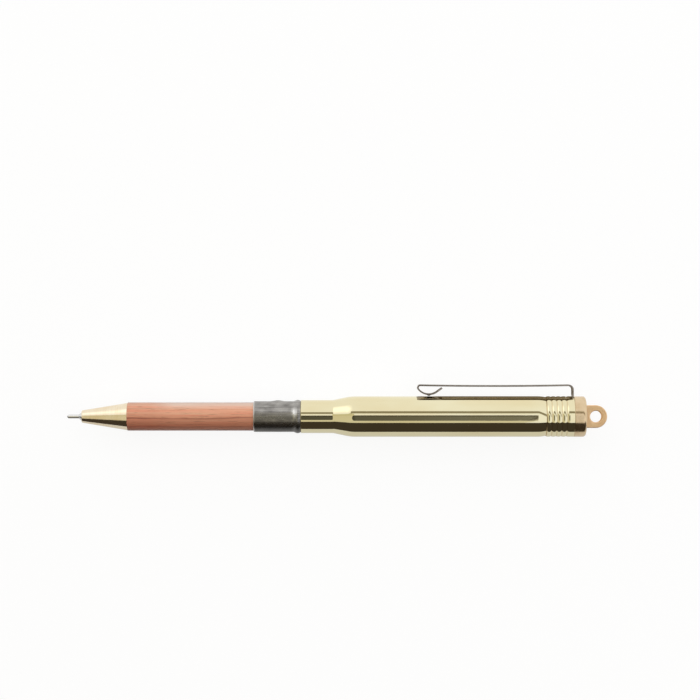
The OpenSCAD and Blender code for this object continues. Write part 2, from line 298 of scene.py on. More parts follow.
def polished_brass():
    """Mirror brass: smudges and hairlines in its roughness, and painted shade in its recesses."""
    material, tree, shader = finish("polished_brass", METAL)
    smudges = grain(tree, (0.05, 0.12, 0.12), 3)
    hairlines = grain(tree, (0.04, 9, 9), 5, lean=(0, 0, 0.02))
    scratches = grain(tree, (0.3, 4, 4), 2, lean=(0, 0, 0.35))
    recess = stored(tree, "recess")
    clean = mixed(spread(smudges, 0, 0.7), BRASS, WARM_BRASS)
    # Painted shade: recesses are darkened and turned orange, standing in for shade and brass lighting
    # brass.
    recess_shaded = mixed(maths("MULTIPLY", recess, 0.6), clean, RECESS_SHADE)
    polish = maths("ADD", spread(hairlines, 0.015, 0.04), spread(smudges, 0, 0.02))
    marked = maths("ADD", polish, spread(scratches, 0, 0.06, 0.66, 0.74))
    worn = maths("ADD", marked, maths("MULTIPLY", recess, 0.1))
    coated(shader, recess_shaded, worn, hairlines, 0.0004)
    return material


brass = polished_brass()
print(brass.name, "has", len(brass.node_tree.nodes), "nodes")

# %% Where shade and highlights are painted
def mark(piece, what, amount):
    """Stores amount(x, r, tilt), held between 0 and 1, on the points of a piece under the name what.

    r is the distance from the axis, and tilt the angle round it from the top towards +Y.
    """
    points = np.empty(len(piece.data.vertices) * 3, np.float32)
    piece.data.vertices.foreach_get("co", points)
    x, y, z = points.reshape(-1, 3).T / MM
    y, z = y - axis_y, z - axis_z
    share = np.clip(amount(x, np.hypot(y, z), np.arctan2(y, z)), 0, 1)
    piece.data.attributes.new(what, "FLOAT", "POINT").data.foreach_set("value", share.astype(np.float32))
    print(piece.name, "has", int((share > 0.5).sum()), "points marked", what)


print("pieces can be marked")

# %% [markdown]
# ## The case
# A thin tube whose mouth is necked down to grip the insert. The neck meets a straight cone at a crisp
# line, and a round leads the cone into the body. At the tail the tube turns in towards the collar. Its
# outline goes along the outside and back along the inside, a wall's thickness further in.

# %% Shape of the case
NECK_LEN = 8.1
NECK_R = 4.18
NECK_EASE = 0.25
SHOULDER_LEN = 5.6
SHOULDER_ROUND = 12.0
ARC_POINTS = 17
CASE_WALL = 0.23
TURN_LEN = 2.2
TURN_IN = 0.22
FINE_EASE = 0.06
SEAM_SHADE_RAMP = 0.25
NECK_SHADE_RAMP = 0.05
BODY_TURNS = 224


def case_skin(inset):
    """Neck, cone, the arc that touches cone and body, and a parabola at the tail, all set in by inset."""
    neck_x = mouth_x + NECK_LEN
    centre = np.array([neck_x + SHOULDER_LEN, body_r - SHOULDER_ROUND])
    line = centre - [neck_x, NECK_R]
    lean = np.arcsin(SHOULDER_ROUND / np.hypot(*line)) + np.arctan2(line[1], line[0])
    angle = np.pi / 2 + np.linspace(lean, 0, ARC_POINTS)
    share = np.linspace(0, 1, ARC_POINTS)
    rows = np.vstack([
        [mouth_x, NECK_R, FINE_EASE],
        [neck_x, NECK_R, NECK_EASE],
        curve(centre[0] + SHOULDER_ROUND * np.cos(angle), centre[1] + SHOULDER_ROUND * np.sin(angle)),
        curve(seam_x - TURN_LEN * (1 - share), body_r - TURN_IN * share ** 2),
    ])
    rows[:, 1] -= inset
    return rows


def case_recess(x, r, tilt):
    """Painted shade up to the seam, and inside the neck. Each is a straight ramp over a short distance."""
    at_seam = (x - seam_x + SEAM_SHADE_RAMP) / SEAM_SHADE_RAMP
    return np.maximum(at_seam, (NECK_R - CASE_WALL / 2 - r) / NECK_SHADE_RAMP)


case_corners = np.vstack([case_skin(0), case_skin(CASE_WALL)[::-1]])
case = turned("brass_case", case_corners, hollow=True, turns=BODY_TURNS)
# The recess mark places painted shade at the seam and inside the neck.
mark(case, "recess", case_recess)
dress(case, brass, "case_brass", "case", "case_tube")

# %% [markdown]
# ## The grooved collar
# A turned collar closes the tail. Rolled grooves with round ridges between them run round it, and a plug
# below holds it in the tube. Its end has a recess and a slot for the clip. Each ridge is a parabola, so
# that it turns a strip of highlight to the light, and the grooves are the sharp lines where two ridges
# meet. The slot is made by pushing back the end of the rim at the columns of the grid that lie inside it.

# %% Shape of the collar
GROOVE_PITCH = 1.27
GROOVES = 4.5
GROOVE_STEPS = 24
GROOVE_DEPTH = 0.13
PLUG_R = 4.625
PLUG_EASE = 0.2
PLUG_BORE_R = 3.825
PLUG_BORE_EASE = 0.1
STUD_BORE_R = 3.0
STUD_DEPTH = 4.5
RECESS_R = 4.1
RECESS_DEPTH = 0.5
RIM_EASE = 0.07
RIM_SHADE_RAMP = 0.1
SLOT_TURN = np.radians(22.3)
SLOT_EDGE = 1e-4
SKIN = 0.01

collar_low, collar_high = box_mm("tail_collar")
collar_x = collar_high[0]
slot_floor = collar_x - RECESS_DEPTH


def groove_line(x):
    """Body radius less a row of parabolas: a round ridge in each pitch, and a groove where two meet."""
    return body_r - GROOVE_DEPTH * (2 * ((x - seam_x) / GROOVE_PITCH % 1) - 1) ** 2


def from_clip_side(turn):
    """The angle from the clip's side, between minus and plus half a turn."""
    return (turn + np.pi) % (2 * np.pi) - np.pi


def clip_slot(x, r, turn):
    """Pushes the rim back to the slot's floor on the side that faces the clip."""
    inside = (np.abs(from_clip_side(turn)) < SLOT_TURN) & (r > RECESS_R - SKIN)
    return np.where(inside, np.minimum(x, slot_floor), x), r


def collar_recess(x, r, tilt):
    """Painted shade that grows as the cube of the depth in a groove, and a straight ramp to the rim's end.
    """
    at_rim = (x - collar_x + RIM_SHADE_RAMP) / RIM_SHADE_RAMP
    return np.maximum(((body_r - r) / GROOVE_DEPTH) ** 3, at_rim)


groove_x = seam_x + GROOVE_PITCH * np.arange(int(GROOVES * GROOVE_STEPS) + 1) / GROOVE_STEPS
collar_corners = np.vstack([
    [collar_low[0], PLUG_BORE_R, PLUG_BORE_EASE],
    [collar_low[0], PLUG_R, PLUG_EASE],
    [seam_x, PLUG_R, 0],
    curve(groove_x, groove_line(groove_x)),
    [slot_floor, body_r, 0],
    [collar_x, body_r, RIM_EASE],
    [collar_x, RECESS_R, 0],
    [slot_floor, RECESS_R, 0],
    [slot_floor, STUD_BORE_R, 0],
    [slot_floor - STUD_DEPTH, STUD_BORE_R, 0],
    [slot_floor - STUD_DEPTH, PLUG_BORE_R, 0],
])
slot_edges = np.array([SLOT_TURN - SLOT_EDGE, SLOT_TURN + SLOT_EDGE])
collar_turns = np.sort(np.concatenate([circle(BODY_TURNS), slot_edges, 2 * np.pi - slot_edges]))
collar = turned("grooved_collar", collar_corners, hollow=True, shape=clip_slot, turns=collar_turns)
# The recess mark places painted shade in the grooves and at the rim's end.
mark(collar, "recess", collar_recess)
dress(collar, brass, "case_brass", "case", "tail_collar")

# %% [markdown]
# ## The end cap and its eye
# The cap is turned from a more orange brass and screws into the collar with a stud. A flat eye for a cord
# or a split ring grows out of its end. The cap is turned and then lightly brushed round, and the eye is
# bead-blasted, which leaves a sandy grain without hairlines. The eye is a ring whose section, a rectangle
# with eased corners, is carried round the hole. The section is stretched where the eye runs into the cap.

# %% Finishes of the cap and the eye
CAP_BRASS = paint(226, 203, 167)
CAP_SHADE = paint(211, 185, 146)
EYE_BRASS = paint(250, 217, 173)
EYE_SHADE = paint(235, 193, 144)


def brushed_cap():
    """Orange brass with rings round it, a little softer than the case's polish."""
    material, tree, shader = finish("brushed_cap_brass", METAL)
    rings = grain(tree, (14, 0.3, 0.3), 3)
    clouds = grain(tree, (0.4, 0.4, 0.4), 3)
    orange = mixed(spread(clouds, 0, 0.8), CAP_BRASS, CAP_SHADE)
    soft = maths("ADD", spread(rings, 0.11, 0.19), spread(clouds, 0, 0.05))
    coated(shader, orange, soft, rings, 0.0012)
    return material


def blasted_eye():
    """Sandy brass: small dents from the blast in its height, and a darker orange in the dents."""
    material, tree, shader = finish("blasted_eye_brass", METAL)
    dents = grain(tree, (7, 7, 7), 3)
    clouds = grain(tree, (0.5, 0.5, 0.5), 2)
    tone = maths("ADD", spread(dents, 0, 0.6), spread(clouds, 0, 0.4))
    coated(shader, mixed(tone, EYE_BRASS, EYE_SHADE), spread(dents, 0.34, 0.5), dents, 0.02)
    return material


cap_brass, eye_brass = brushed_cap(), blasted_eye()
print(cap_brass.name, "and", eye_brass.name, "are ready")

# %% Shape of the cap
CAP_LEN = 3.0
CAP_ROUND = 0.85
CAP_EASE = 0.12
STUD_R = 2.95
STUD_EASE = 0.3
cap_low, cap_high = box_mm("end_cap")
cap_x = collar_x + CAP_LEN
cap_corners = np.array([
    [cap_low[0], 0, 0],
    [cap_low[0], STUD_R, STUD_EASE],
    [collar_x, STUD_R, 0],
    [collar_x, body_r, CAP_EASE],
    [cap_x, body_r, CAP_ROUND],
    [cap_x, 0, 0],
])
cap = turned("end_cap_flange", cap_corners, turns=BODY_TURNS)
dress(cap, cap_brass, "cap_brass", "case", "end_cap")

# %% Shape of the eye
EYE_HOLE_R = 1.45
EYE_R = 2.85
EYE_T = 1.8
EYE_EASE = 0.28
EYE_SINK = 0.6
EYE_TURNS = 192
eye_x = cap_high[0] - EYE_R


def eye_edge(turn):
    """Distance from the hole's centre to the eye's edge: half round, with straight sides and root."""
    side = EYE_R / np.maximum(np.abs(np.sin(turn)), MERGE)
    root = (eye_x - cap_x + EYE_SINK) / np.maximum(-np.cos(turn), MERGE)
    return np.where(np.cos(turn) > 0, EYE_R, np.minimum(side, root))


eye_corners = np.array([
    [EYE_HOLE_R, EYE_T / 2, EYE_EASE],
    [EYE_R, EYE_T / 2, EYE_EASE],
    [EYE_R, -EYE_T / 2, EYE_EASE],
    [EYE_HOLE_R, -EYE_T / 2, EYE_EASE],
])
section = braced(eased(eye_corners))
eye_turn = circle(EYE_TURNS)[None, :]
outer_half = section[:, :1] > (EYE_HOLE_R + EYE_R) / 2
reach = section[:, :1] + np.where(outer_half, eye_edge(eye_turn) - EYE_R, 0)
eye_grid = np.stack([eye_x + reach * np.cos(eye_turn), axis_y + reach * np.sin(eye_turn),
                     np.broadcast_to(axis_z + section[:, 1:], reach.shape)], axis=-1)
eye = surface("lanyard_eye", eye_grid, looped=True)
dress(eye, eye_brass, "cap_brass", "case", "end_cap")

# %% [markdown]
# ## The clip
# The clip is one strip of spring steel. Its leg comes out of the slot in the collar, bends into an arm
# that bows a little towards the case, turns back tightly at the free end, and ends in a curl close to the
# case, with a short straight tail. A round pip, pressed out of the curl, is a hair off the case. The
# strip's line is a row of arcs that touch each other. Drawn twice, once moved out by a millimetre, the
# line also gives the direction across the strip, and the strip's eased section is carried along both.

# %% Finish of the clip
STEEL = paint(176, 168, 160)
STEEL_SHADE = paint(138, 128, 121)
PAINTED_CONTACT_SHADE = paint(52, 42, 35)


def spring_steel():
    """Rolled steel strip: lines along it, a faint warm oxide, and painted shade on the pip next to the
    case.
    """
    material, tree, shader = finish("spring_steel", METAL)
    lines = grain(tree, (0.08, 7, 7), 5)
    oxide = grain(tree, (0.15, 0.6, 0.6), 3)
    tone = maths("ADD", spread(lines, 0, 0.5), spread(oxide, 0, 0.5))
    strip_tone = mixed(tone, STEEL, STEEL_SHADE)
    # Painted shade: the pip's side next to the case is darkened, as shade falls in the gap there.
    contact_shaded = mixed(stored(tree, "contact_shade"), strip_tone, PAINTED_CONTACT_SHADE)
    coated(shader, contact_shaded, spread(lines, 0.2, 0.36), lines, 0.002)
    return material


steel = spring_steel()
refinish("clip_washer", steel)

# %% Line of the clip
CLIP_T = 0.4
CLIP_W = 3.2
ROOT_R = 1.1
ARM_LEN = 37.2
ARM_SAG = 0.18
END_R = 0.6
CURL_R = 3.4
CURL_GAP = 0.32
CURL_PAST = 36
TAIL_GAP = 0.12
STRIP_EASE = 0.1
BEND_POINTS = 25
BOW_POINTS = 49

clip_low, clip_high = box_mm("clip_arm")
root_bend = np.array([clip_high[0] - CLIP_T / 2 - ROOT_R, clip_high[1] - CLIP_T / 2 - ROOT_R])
bow_r = ((ARM_LEN / 2) ** 2 + ARM_SAG ** 2) / (2 * ARM_SAG)
bow_turn = np.degrees(np.arcsin(ARM_LEN / 2 / bow_r))


def spoke(degrees):
    """The unit step in a direction given in degrees."""
    return np.stack([np.cos(np.radians(degrees)), np.sin(np.radians(degrees))], axis=-1)


bow = root_bend + (ROOT_R + bow_r) * spoke(90 + bow_turn)
end_bend = bow - (bow_r + END_R) * spoke(90 - bow_turn)
curl_y = axis_y + body_r + CURL_GAP + CLIP_T / 2 + CURL_R
curl = np.array([end_bend[0] + np.sqrt((CURL_R - END_R) ** 2 - (curl_y - end_bend[1]) ** 2), curl_y])
curl_start = 180 + np.degrees(np.arctan2(*(curl - end_bend)[::-1]))
curl_end, tail_way = spoke(CURL_PAST - 90), spoke(CURL_PAST)
tail_start = curl + CURL_R * curl_end
tail_top = clip_high[1] - CLIP_T - ARM_SAG - TAIL_GAP - CLIP_T / 2 * tail_way[0]
tail_tip = tail_start + (tail_top - tail_start[1]) / tail_way[1] * tail_way


def clip_line(out):
    """Leg, root bend, bowed arm, end bend, curl and tail, moved out of the bends by out."""
    leg_x = root_bend[0] + ROOT_R + out
    return np.vstack([
        [[leg_x, clip_low[1]], [leg_x, clip_low[1] + STRIP_EASE], [leg_x, root_bend[1] - STRIP_EASE]],
        root_bend + (ROOT_R + out) * spoke(np.linspace(0, 90 + bow_turn, BEND_POINTS)),
        bow + (bow_r - out) * spoke(np.linspace(270 + bow_turn, 270 - bow_turn, BOW_POINTS)[1:]),
        end_bend + (END_R + out) * spoke(np.linspace(90 - bow_turn, curl_start, BEND_POINTS)[1:]),
        curl + (CURL_R + out) * spoke(np.linspace(curl_start, 270 + CURL_PAST, BOW_POINTS)[1:]),
        [tail_tip - STRIP_EASE * tail_way + out * curl_end, tail_tip + out * curl_end],
    ])


middle = clip_line(0)
print("the clip's line has", len(middle), "points from", middle[0].round(2), "to", middle[-1].round(2))

# %% Shape of the clip
STRIP_BRACE = 0.02
TIP_SHARE = 0.75
strip_corners = np.array([
    [CLIP_T / 2, CLIP_W / 2, STRIP_EASE],
    [CLIP_T / 2, -CLIP_W / 2, STRIP_EASE],
    [-CLIP_T / 2, -CLIP_W / 2, STRIP_EASE],
    [-CLIP_T / 2, CLIP_W / 2, STRIP_EASE],
])
strip = braced(eased(strip_corners), STRIP_BRACE)
order = np.r_[0, 0, 1:len(middle) - 1, len(middle) - 1, len(middle) - 1]
shrink = np.ones((len(order), 1))
shrink[[0, -1]] = 0
shrink[[1, -2]] = TIP_SHARE
thick = shrink * strip[:, 0]
wide = (1 - (1 - shrink) * CLIP_T / CLIP_W) * strip[:, 1]
wide[[0, -1]] = 0
flat = middle[order][:, None, :] + thick[:, :, None] * (clip_line(1) - middle)[order][:, None, :]
clip = surface("pocket_clip", np.dstack([flat, axis_z + wide]), looped=False)
dress(clip, steel, "clip_steel", "clip", "clip_arm")

# %% Shape of the pip
PIP_R = 0.6
PIP_GAP = 0.1
DOME_POINTS = 13
PIP_TURNS = 48
CONTACT_SHADE_RISE = 0.7
CONTACT_SHADE_FADE = 0.3
pip_y = axis_y + body_r + PIP_GAP + PIP_R
lid_y = curl_y - CURL_R
dome = np.linspace(0, np.arccos((pip_y - lid_y) / PIP_R), DOME_POINTS)
pip_out = np.append(PIP_R * np.sin(dome), 0)[:, None]
pip_height = np.append(pip_y - PIP_R * np.cos(dome), lid_y)[:, None]
pip_turn = circle(PIP_TURNS)[None, :]
pip_grid = np.stack(np.broadcast_arrays(curl[0] + pip_out * np.cos(pip_turn), pip_height,
                                        axis_z + pip_out * np.sin(pip_turn)), axis=-1)
pip = surface("clip_pip", pip_grid, looped=False)
# Painted shade on the pip's points nearest the case.
mark(pip, "contact_shade", lambda x, r, tilt: (body_r + CONTACT_SHADE_RISE - r) / CONTACT_SHADE_FADE)
dress(pip, steel, "clip_steel", "clip", "clip_arm")

# %% [markdown]
# ## The bullet holder
# A tube of dull grey metal is the pen's backbone. A rolled bead stops it at the mouth of the case, and a
# punched bump on each side of the bead grips whichever end is pushed in. Its far end closes round a
# lighter solid nose. The metal is tumbled, not polished, so its colour is blotchy, with streaks along it.
# The -Y side is painted dark, as painted shade, and the mouth's rim and the bead's foot on its lit side
# are painted bright, as a painted highlight laid on like rubbed bare metal.
# The bead is a raised cosine wave, the nose an ellipse, and each bump a bell curve added to the radius.

# %% Finishes of the holder and its nose
PEWTER = paint(184, 181, 176)
PEWTER_SHADE = paint(110, 107, 104)
PEWTER_HIGHLIGHT = paint(240, 238, 234)
PAINTED_UNDERSIDE_SHADE = paint(64, 62, 60)
UNDERSIDE_SHADE_FROM = -3.2
UNDERSIDE_SHADE_TO = -4.3
NOSE_GREY = paint(200, 198, 193)
NOSE_SHADE = paint(164, 161, 155)


def tumbled_grey(name, light, shade, streak_mm):
    """Dull grey metal: streaks, blotches, pits from a tumbling drum, painted shade and painted highlights.
    """
    material, tree, shader = finish(name, METAL)
    streaks = grain(tree, (streak_mm, 2.4, 2.4), 6)
    blotches = grain(tree, (0.45, 0.7, 0.7), 5)
    pits = grain(tree, (6, 7, 7), 3)
    tone = maths("ADD", spread(streaks, 0, 0.55), spread(blotches, 0, 0.45))
    # Painted shade: darker towards -Y, the lower side, where less light falls.
    underside_shade = over_mm(where(tree)["Y"], 0, 0.8, UNDERSIDE_SHADE_FROM, UNDERSIDE_SHADE_TO)
    underside_shaded = mixed(underside_shade, mixed(tone, light, shade), PAINTED_UNDERSIDE_SHADE)
    # Painted highlight: bright where the points are marked worn, at the rim and the bead's foot.
    worn = mixed(stored(tree, "worn"), underside_shaded, PEWTER_HIGHLIGHT)
    dull = maths("ADD", spread(blotches, 0.22, 0.3), spread(streaks, 0, 0.06))
    coated(shader, worn, dull, maths("ADD", streaks, maths("MULTIPLY", pits, 0.25)), 0.006)
    return material


pewter = tumbled_grey("tumbled_grey", PEWTER, PEWTER_SHADE, 0.07)
nose_metal = tumbled_grey("grained_nose", NOSE_GREY, NOSE_SHADE, 0.8)
print(pewter.name, "and", nose_metal.name, "are ready")

# %% Shape of the holder
HOLDER_R = 3.875
HOLDER_WALL = 0.3
HOLDER_EASE = 0.24
FERRULE_START = 0.3
BEAD_RISE = 0.335
BEAD_W = 2.4
BEAD_BACK = 0.848
NOSE_LEN = 7.05
RIM_HIGHLIGHT = 0.8
RIM_HIGHLIGHT_LONG = 0.5
FOOT_HIGHLIGHT_BACK = 0.8
FOOT_HIGHLIGHT_LONG = 0.9
HIGHLIGHT_TILT = np.radians(18)
HIGHLIGHT_WIDE = np.radians(24)
HIGHLIGHT_FAINT = 0.1
BUMP_SPREAD = 1.15
BUMP_SKIN = 0.1
BUMPS = ((-4.9, 0.25), (5.7, 0.05))
LENGTH_POINTS = 60
BEAD_POINTS = 40
TIP_POINTS = 24
INSERT_TURNS = 192

holder_low, holder_high = box_mm("holder_sleeve")
nose_low, nose_high = box_mm("nose_plug")
bead_x = mouth_x - BEAD_BACK
nose_x = nose_high[0] - NOSE_LEN
nose_seam_x = holder_high[0]


def bead_line(x):
    """Holder radius and one raised cosine wave about the bead."""
    return HOLDER_R + BEAD_RISE * (1 + np.cos(2 * np.pi * (x - bead_x) / BEAD_W)) / 2


def nose_line(x):
    """Radius of the bullet's nose: an ellipse from the holder's radius down to the tip."""
    return HOLDER_R * np.sqrt(np.clip(1 - ((x - nose_x) / NOSE_LEN) ** 2, 0, 1))


def grip_bumps(x, r, turn):
    """Adds a bell curve on the clip's side for each bump's place and rise, to the outer skin only."""
    across = HOLDER_R * from_clip_side(turn)
    outer = np.clip((r - HOLDER_R + BUMP_SKIN) / BUMP_SKIN, 0, 1)
    for along, rise in BUMPS:
        distance = np.hypot(x - bead_x - along, across) / BUMP_SPREAD
        r = r + outer * rise * np.exp(-distance ** 2)
    return x, r


def painted_highlight(x, r, tilt):
    """Painted highlight at the mouth's rim and the bead's foot, most on the lit side: straight ramps."""
    lit_side = np.clip(1 - np.abs(tilt - HIGHLIGHT_TILT) / HIGHLIGHT_WIDE, HIGHLIGHT_FAINT, 1)
    foot = lit_side * (1 - np.abs(x - bead_x + FOOT_HIGHLIGHT_BACK) / FOOT_HIGHLIGHT_LONG)
    return np.maximum(foot, RIM_HIGHLIGHT - (x - holder_low[0]) / RIM_HIGHLIGHT_LONG)


ferrule_x = np.linspace(holder_low[0] + FERRULE_START, bead_x - BEAD_W / 2, LENGTH_POINTS)[:-1]
bead_xs = np.linspace(bead_x - BEAD_W / 2, bead_x + BEAD_W / 2, BEAD_POINTS)
bullet_x = np.linspace(bead_x + BEAD_W / 2, nose_x, LENGTH_POINTS)[1:-1]
tip_x = np.linspace(nose_x, nose_seam_x, TIP_POINTS)
holder_corners = np.vstack([
    [holder_low[0], HOLDER_R, HOLDER_EASE],
    curve(ferrule_x, HOLDER_R),
    curve(bead_xs, bead_line(bead_xs)),
    curve(bullet_x, HOLDER_R),
    curve(tip_x, nose_line(tip_x)),
    curve(tip_x, nose_line(tip_x) - HOLDER_WALL)[::-1],
    [holder_low[0], HOLDER_R - HOLDER_WALL, FINE_EASE],
])
holder = turned("bullet_holder", holder_corners, hollow=True, shape=grip_bumps, turns=INSERT_TURNS)
# The worn mark places a painted highlight at the mouth's rim and on the bead's foot.
mark(holder, "worn", painted_highlight)
dress(holder, pewter, "holder_grey", "insert", "holder_sleeve")

# %% Shape of the nose
NOSE_GAP = 0.025
SOCKET_POINTS = 16
socket_x = np.linspace(nose_low[0], nose_seam_x - NOSE_GAP, SOCKET_POINTS)
nose_start = np.arcsin((nose_seam_x + NOSE_GAP - nose_x) / NOSE_LEN)
nose_angle = np.linspace(nose_start, np.pi / 2, TIP_POINTS)
nose_corners = np.vstack([
    [nose_low[0], 0, 0],
    curve(socket_x, nose_line(socket_x) - HOLDER_WALL - NOSE_GAP),
    [nose_seam_x + NOSE_GAP, nose_line(nose_seam_x) - HOLDER_WALL - NOSE_GAP, 0],
    curve(nose_x + NOSE_LEN * np.sin(nose_angle), HOLDER_R * np.cos(nose_angle)),
])
nose_corners[-1, 1] = 0
nose = turned("bullet_nose", nose_corners)
dress(nose, nose_metal, "nose_grey", "insert", "nose_plug")

# %% [markdown]
# ## The cedar barrel
# The grip is a round length of cedar, such as a pencil is made of, drilled for the refill. The wood is
# sawn so that its growth rings lie as flat layers across the pen. Each layer is pale and ends in a thin
# dark line, so the rings are a saw wave across Y. Towards -Y the colour is painted darker and redder, as
# painted shade on the lower side, and towards +Y it is painted pale and without pores, as a painted sheen
# on the upper side. The sheen fades out near the cone, where the dark lines are strongest. Fibres and
# pores are noise stretched along X.

# %% Finish of the cedar
CEDAR_PAINTED_SHEEN = paint(255, 228, 212)
CEDAR_LIGHT = paint(255, 198, 161)
CEDAR_PINK = paint(254, 172, 138)
CEDAR_RED_SHADE = paint(190, 92, 66)
CEDAR_LINE = paint(146, 72, 50)
CEDAR_PORE = paint(136, 76, 54)
RING_PITCH = 2.24
RING_SHIFT = -0.56
LOW_SHADE_FROM = 1.0
LOW_SHADE_TO = -5.0
SHEEN_FROM = 0.45
SHEEN_TO = 1.6
FADE_FROM = -47
FADE_TO = -41
LINES_FROM = 0.5
LINES_TO = -1.5


def cedar():
    """Oiled cedar: saw-wave growth rings across Y, fibres along X, and short dark pores."""
    material, tree, shader = finish("oiled_cedar", {"Sheen Weight": 0.7, "Sheen Roughness": 0.4})
    place = where(tree)
    along, across = place["X"], place["Y"]
    waver = grain(tree, (0.05, 0.25, 0.25), 4)
    fibres = grain(tree, (0.05, 3.2, 3.2), 6)
    pores = grain(tree, (0.3, 7, 7), 2)
    bands = spread(grain(tree, (0.06, 0.3, 0.3), 3), 0.2, 1)
    layer = maths("MULTIPLY_ADD", across, 1 / (RING_PITCH * MM))
    layer.node.inputs[2].default_value = RING_SHIFT
    ring = maths("FRACT", maths("ADD", layer, maths("MULTIPLY", waver, 0.6)))
    depth = maths("MULTIPLY", over_mm(across, 0.2, 0.75, LINES_FROM, LINES_TO),
                  over_mm(along, 1.7, 0.85, FADE_FROM, FADE_TO))
    ring_end = spread(ring, 0, 1, 0.8, 0.97)
    line = maths("MULTIPLY", ring_end, maths("MULTIPLY", bands, depth))
    pale = mixed(spread(fibres, 0, 1), CEDAR_LIGHT, CEDAR_PINK)
    # Painted shade: darker and redder towards -Y, the lower side, and a little redder near the cone.
    low_shade = maths("ADD", over_mm(across, 0, 0.75, LOW_SHADE_FROM, LOW_SHADE_TO),
                  over_mm(along, 0.12, 0, FADE_FROM, FADE_TO))
    # Painted sheen: paler towards +Y, the upper side, fading near the cone; pores thin out under it.
    top_sheen = maths("MULTIPLY", over_mm(across, 0, 1, SHEEN_FROM, SHEEN_TO),
                    over_mm(along, 0.2, 1, FADE_FROM, FADE_TO))
    sheen_share = maths("MULTIPLY", top_sheen, spread(fibres, 1, 0.7))
    wood = mixed(low_shade, mixed(sheen_share, pale, CEDAR_PAINTED_SHEEN), CEDAR_RED_SHADE)
    ringed = mixed(line, wood, CEDAR_LINE)
    dots = spread(pores, 0, 0.65, 0.59, 0.72)
    pore = maths("MULTIPLY", dots, spread(top_sheen, 1, 0, 0, 1))
    pored = mixed(pore, ringed, CEDAR_PORE)
    coated(shader, pored, spread(fibres, 0.4, 0.56), maths("SUBTRACT", fibres, pores), 0.02)
    return material


wood_finish = cedar()
print(wood_finish.name, "has", len(wood_finish.node_tree.nodes), "nodes")

# %% Shape of the barrel
WOOD_R = 3.55
WOOD_EASE = 0.14
BUSH_POCKET_R = 2.825
REFILL_BORE_R = 1.3
BUSH_GAP = 0.025
wood_low, wood_high = box_mm("wooden_barrel")
bush_low, bush_high = box_mm("threaded_insert")
tube_low, tube_high = box_mm("ink_tube")
wood_corners = np.array([
    [tube_high[0], 0, 0],
    [tube_high[0], REFILL_BORE_R, 0],
    [bush_high[0] + BUSH_GAP, REFILL_BORE_R, 0],
    [bush_high[0] + BUSH_GAP, BUSH_POCKET_R, 0],
    [wood_low[0], BUSH_POCKET_R, 0],
    [wood_low[0], WOOD_R, WOOD_EASE],
    [wood_high[0], WOOD_R, WOOD_EASE],
    [wood_high[0], 0, 0],
])
barrel = turned("cedar_barrel", wood_corners, turns=INSERT_TURNS)
dress(barrel, wood_finish, "wood", "insert", "wooden_barrel")

# %% [markdown]
# ## The cone and its thread
# The writing end is closed by a cone turned from brass bar. A fine tool leaves rings too small to count,
# which stretch its highlights into soft sheets of light. Behind it a threaded spigot screws into a
# bush in the wood. A thread is a ridge that climbs as it goes round, so its depth is a triangle wave of
# x over the pitch less the share of a turn. The spigot's thread is cut in, and the bush's is cut out.

# %% Finish of the cone
CONE_BRASS = paint(244, 232, 208)
CONE_SHADE = paint(234, 213, 177)


def turned_brass():
    """Brass from the lathe: rings round the axis in its roughness, height and colour."""
    material, tree, shader = finish("turned_brass", METAL)
    rings = grain(tree, (11, 0.1, 0.1), 4)
    clouds = grain(tree, (0.25, 0.5, 0.5), 3)
    tone = maths("ADD", spread(rings, 0, 0.4), spread(clouds, 0, 0.5))
    coated(shader, mixed(tone, CONE_BRASS, CONE_SHADE), spread(rings, 0.08, 0.17), rings, 0.002)
    return material


cone_brass = turned_brass()
print(cone_brass.name, "is ready")

# %% Shape of the cone
THREAD_PITCH = 0.6
THREAD_DEPTH = 0.2
THREAD_POINTS = 140
THREAD_RELIEF = 0.3
POINT_HOLE_R = 1.125
POINT_HOLE_EASE = 0.08
CONE_FRONT_R = 1.545
CONE_FRONT_EASE = 0.3
CONE_BACK_R = 3.475
CONE_STOP = 3.8
SPIGOT_R = 2.3
SPIGOT_CHAMFER = 0.2
BUSH_BORE_R = 2.35
BUSH_R = 2.8


def threaded(radius, from_x, to_x, way):
    """A shape with a thread cut into its skin at a radius, inwards for a way of -1 and outwards for 1.

    The depth is a triangle wave of x / pitch - turn, faded out over half a pitch at both ends.
    """
    def cut(x, r, turn):
        wave = np.abs(2 * ((x / THREAD_PITCH - turn / (2 * np.pi)) % 1) - 1)
        fade = np.clip(np.minimum(x - from_x, to_x - x) / (THREAD_PITCH / 2), 0, 1)
        skin = np.abs(r - radius) < SKIN
        return x, r + way * np.where(skin, THREAD_DEPTH * wave * fade, 0)
    return cut


cone_low, cone_high = box_mm("nose_cone")
stop_x = cone_low[0] + CONE_STOP
spigot_x = np.linspace(wood_low[0], cone_high[0] - SPIGOT_CHAMFER, THREAD_POINTS)
spigot_thread = threaded(SPIGOT_R, spigot_x[0] + THREAD_RELIEF, spigot_x[-1], -1)
cone_corners = np.vstack([
    [cone_low[0], POINT_HOLE_R, POINT_HOLE_EASE],
    [cone_low[0], CONE_FRONT_R, CONE_FRONT_EASE],
    [wood_low[0], CONE_BACK_R, FINE_EASE],
    curve(spigot_x, SPIGOT_R),
    [cone_high[0], SPIGOT_R - SPIGOT_CHAMFER, 0],
    [cone_high[0], REFILL_BORE_R, 0],
    [stop_x, REFILL_BORE_R, 0],
    [stop_x, POINT_HOLE_R, 0],
])
cone = turned("point_cone", cone_corners, hollow=True, shape=spigot_thread)
dress(cone, cone_brass, "cone_brass", "cone", "nose_cone")

